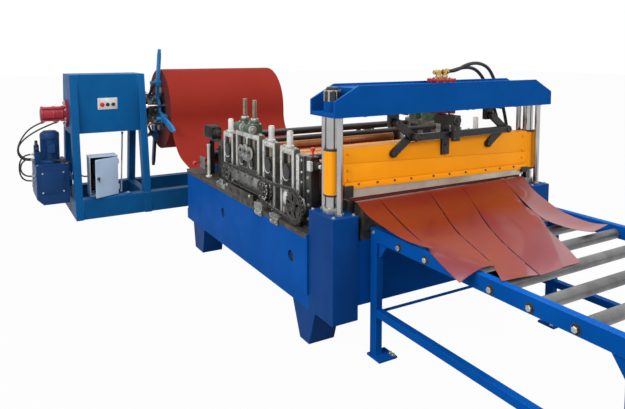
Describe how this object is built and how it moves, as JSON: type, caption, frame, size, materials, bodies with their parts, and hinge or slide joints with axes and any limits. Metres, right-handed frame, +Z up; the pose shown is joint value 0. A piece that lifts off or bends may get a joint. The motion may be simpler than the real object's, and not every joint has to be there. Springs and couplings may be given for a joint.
{
  "type": "cut-to-length line",
  "caption": "Strip line with a decoiler, a chain-driven leveller, a post-guided hydraulic shear and a roller run-out table.",
  "frame": {"origin": "middle of the footprint, on the floor", "axes": "+X along the strip from the decoiler to the run-out table, +Y across it away from the decoiler's stand, +Z up"},
  "size_m": [6.1394, 2.9487, 1.6894],
  "materials": {
    "blue_paint": "gloss blue machine paint",
    "dark_blue_paint": "dark blue machine paint",
    "yellow_paint": "gloss yellow paint",
    "ground_steel": "ground steel",
    "chrome": "hard chrome",
    "black_steel": "blackened steel",
    "brass": "plain brass",
    "red_paint": "gloss red paint",
    "coated_strip": "coated red sheet",
    "green_paint": "green casting paint",
    "grey_paint": "light grey paint",
    "black_rubber": "black hose and cable cover"
  },
  "bodies": {
    "root": {"base_frame": "blue_paint", "base_legs": "blue_paint", "front_columns": "blue_paint", "top_beam": "blue_paint", "guide_posts": "chrome", "post_nuts": "ground_steel", "lower_blade": "ground_steel", "shear_cylinder": "red_paint", "cylinder_fittings": "brass", "shear_hose_1": "black_rubber", "shear_hose_2": "black_rubber", "link_brackets": "black_steel", "roll_stands": "ground_steel", "bearing_blocks": "ground_steel", "adjusting_screws": "ground_steel", "jack_boxes": "green_paint", "tie_bars": "black_steel", "entry_guide": "ground_steel", "drive_chains": "black_steel", "strip": "coated_strip", "slit_strips": "coated_strip", "table_frame": "blue_paint", "decoiler_stand": "blue_paint", "rotary_cylinder": "red_paint", "tank": "dark_blue_paint", "pump_motor": "blue_paint", "decoiler_hose_1": "black_rubber", "decoiler_hose_2": "black_rubber", "decoiler_hose_3": "black_rubber", "decoiler_hose_4": "black_rubber", "motor_cable": "black_rubber", "cabinet_body": "grey_paint"},
    "blade": {"blade_beam": "yellow_paint", "upper_blade": "ground_steel", "cylinder_rod": "black_steel"},
    "link_upper_near": {"upper_link_near": "black_steel"},
    "link_upper_far": {"upper_link_far": "black_steel"},
    "linkage_bar": {"link_bar": "black_steel"},
    "link_lower_near": {"lower_link_near": "black_steel"},
    "link_lower_far": {"lower_link_far": "black_steel"},
    "reel": {"coil": "coated_strip", "mandrel": "black_steel", "keeper_arms": "blue_paint"},
    "door": {"cabinet_door": "grey_paint"},
    "feed_roll_lower_1_body": {"feed_roll_lower_1": "chrome"},
    "feed_roll_lower_2_body": {"feed_roll_lower_2": "chrome"},
    "pinch_roll_lower_body": {"pinch_roll_lower": "chrome"},
    "feed_roll_upper_1_body": {"feed_roll_upper_1": "chrome"},
    "feed_roll_upper_2_body": {"feed_roll_upper_2": "chrome"},
    "pinch_roll_upper_body": {"pinch_roll_upper": "chrome"},
    "levelling_roll_1_body": {"levelling_roll_1": "chrome"},
    "levelling_roll_2_body": {"levelling_roll_2": "chrome"},
    "levelling_roll_3_body": {"levelling_roll_3": "chrome"},
    "drive_sprocket_body": {"drive_sprocket": "black_steel"},
    "table_roller_1_body": {"table_roller_1": "chrome"},
    "table_roller_2_body": {"table_roller_2": "chrome"},
    "table_roller_3_body": {"table_roller_3": "chrome"},
    "table_roller_4_body": {"table_roller_4": "chrome"},
    "table_roller_5_body": {"table_roller_5": "chrome"},
    "table_roller_6_body": {"table_roller_6": "chrome"}
  },
  "joints": [
    {"name": "blade_slide", "type": "slide", "parent": "root", "child": "blade", "axis": [0, 0, -1], "range_m": [0, 0.035]},
    {"name": "upper_link_near_fold", "type": "hinge", "parent": "root", "child": "link_upper_near", "pos_m": [1.43871, 0.1565, 1.262], "axis": [1, 0, 0], "range_deg": [-9.11, 0]},
    {"name": "upper_link_far_fold", "type": "hinge", "parent": "root", "child": "link_upper_far", "pos_m": [1.43871, 0.9065, 1.262], "axis": [1, 0, 0], "range_deg": [-9.11, 0]},
    {"name": "bar_level", "type": "hinge", "parent": "link_upper_near", "child": "linkage_bar", "pos_m": [1.46271, 0.2765, 1.172], "axis": [1, 0, 0], "range_deg": [0, 9.11]},
    {"name": "lower_link_near_fold", "type": "hinge", "parent": "blade", "child": "link_lower_near", "pos_m": [1.41471, 0.1565, 1.082], "axis": [1, 0, 0], "range_deg": [0, 9.11]},
    {"name": "lower_link_far_fold", "type": "hinge", "parent": "blade", "child": "link_lower_far", "pos_m": [1.41471, 0.9065, 1.082], "axis": [1, 0, 0], "range_deg": [0, 9.11]},
    {"name": "feed_roll_lower_1_turn", "type": "hinge", "parent": "root", "child": "feed_roll_lower_1_body", "pos_m": [0.65071, 0.5465, 0.7647], "axis": [0, 1, 0], "continuous": true},
    {"name": "feed_roll_lower_2_turn", "type": "hinge", "parent": "root", "child": "feed_roll_lower_2_body", "pos_m": [0.90671, 0.5465, 0.7647], "axis": [0, 1, 0], "continuous": true},
    {"name": "pinch_roll_lower_turn", "type": "hinge", "parent": "root", "child": "pinch_roll_lower_body", "pos_m": [-0.04029, 0.5465, 0.7647], "axis": [0, 1, 0], "continuous": true},
    {"name": "feed_roll_upper_1_turn", "type": "hinge", "parent": "root", "child": "feed_roll_upper_1_body", "pos_m": [0.65071, 0.5465, 0.9173], "axis": [0, 1, 0], "continuous": true},
    {"name": "feed_roll_upper_2_turn", "type": "hinge", "parent": "root", "child": "feed_roll_upper_2_body", "pos_m": [0.90671, 0.5465, 0.9173], "axis": [0, 1, 0], "continuous": true},
    {"name": "pinch_roll_upper_turn", "type": "hinge", "parent": "root", "child": "pinch_roll_upper_body", "pos_m": [-0.04029, 0.5465, 0.9173], "axis": [0, 1, 0], "continuous": true},
    {"name": "levelling_roll_1_turn", "type": "hinge", "parent": "root", "child": "levelling_roll_1_body", "pos_m": [0.22671, 0.5465, 0.8873], "axis": [0, 1, 0], "continuous": true},
    {"name": "levelling_roll_2_turn", "type": "hinge", "parent": "root", "child": "levelling_roll_2_body", "pos_m": [0.38871, 0.5465, 0.8873], "axis": [0, 1, 0], "continuous": true},
    {"name": "levelling_roll_3_turn", "type": "hinge", "parent": "root", "child": "levelling_roll_3_body", "pos_m": [0.30771, 0.5465, 0.7947], "axis": [0, 1, 0], "continuous": true},
    {"name": "drive_sprocket_turn", "type": "hinge", "parent": "root", "child": "drive_sprocket_body", "pos_m": [1.07771, 0.5465, 0.757], "axis": [0, 1, 0], "continuous": true},
    {"name": "table_roller_1_turn", "type": "hinge", "parent": "root", "child": "table_roller_1_body", "pos_m": [1.75671, 0.5465, 0.668], "axis": [0, 1, 0], "continuous": true},
    {"name": "table_roller_2_turn", "type": "hinge", "parent": "root", "child": "table_roller_2_body", "pos_m": [1.95871, 0.5465, 0.668], "axis": [0, 1, 0], "continuous": true},
    {"name": "table_roller_3_turn", "type": "hinge", "parent": "root", "child": "table_roller_3_body", "pos_m": [2.16071, 0.5465, 0.668], "axis": [0, 1, 0], "continuous": true},
    {"name": "table_roller_4_turn", "type": "hinge", "parent": "root", "child": "table_roller_4_body", "pos_m": [2.36271, 0.5465, 0.668], "axis": [0, 1, 0], "continuous": true},
    {"name": "table_roller_5_turn", "type": "hinge", "parent": "root", "child": "table_roller_5_body", "pos_m": [2.56471, 0.5465, 0.668], "axis": [0, 1, 0], "continuous": true},
    {"name": "table_roller_6_turn", "type": "hinge", "parent": "root", "child": "table_roller_6_body", "pos_m": [2.76671, 0.5465, 0.668], "axis": [0, 1, 0], "continuous": true},
    {"name": "mandrel_turn", "type": "hinge", "parent": "root", "child": "reel", "pos_m": [-2.41029, 0.5465, 1.03], "axis": [0, 1, 0], "continuous": true},
    {"name": "cabinet_door_swing", "type": "hinge", "parent": "root", "child": "door", "pos_m": [-2.07829, -0.6395, 0.402], "axis": [0, 0, 1], "range_deg": [-25, 80]}
  ],
  "couplings": [
    {"joint": "upper_link_near_fold", "follows": "blade_slide", "rad_per_m": -4.4431},
    {"joint": "upper_link_far_fold", "follows": "blade_slide", "rad_per_m": -4.4431},
    {"joint": "bar_level", "follows": "blade_slide", "rad_per_m": 4.4431},
    {"joint": "lower_link_near_fold", "follows": "blade_slide", "rad_per_m": 4.4431},
    {"joint": "lower_link_far_fold", "follows": "blade_slide", "rad_per_m": 4.4431},
    {"joint": "feed_roll_lower_2_turn", "follows": "feed_roll_lower_1_turn", "ratio": 1},
    {"joint": "pinch_roll_lower_turn", "follows": "feed_roll_lower_1_turn", "ratio": 1},
    {"joint": "feed_roll_upper_1_turn", "follows": "feed_roll_lower_1_turn", "ratio": -1},
    {"joint": "feed_roll_upper_2_turn", "follows": "feed_roll_lower_1_turn", "ratio": -1},
    {"joint": "pinch_roll_upper_turn", "follows": "feed_roll_lower_1_turn", "ratio": -1},
    {"joint": "levelling_roll_1_turn", "follows": "feed_roll_lower_1_turn", "ratio": -1.6667},
    {"joint": "levelling_roll_2_turn", "follows": "feed_roll_lower_1_turn", "ratio": -1.6667},
    {"joint": "levelling_roll_3_turn", "follows": "feed_roll_lower_1_turn", "ratio": 1.6667},
    {"joint": "drive_sprocket_turn", "follows": "feed_roll_lower_1_turn", "ratio": 0.66667}
  ]
}
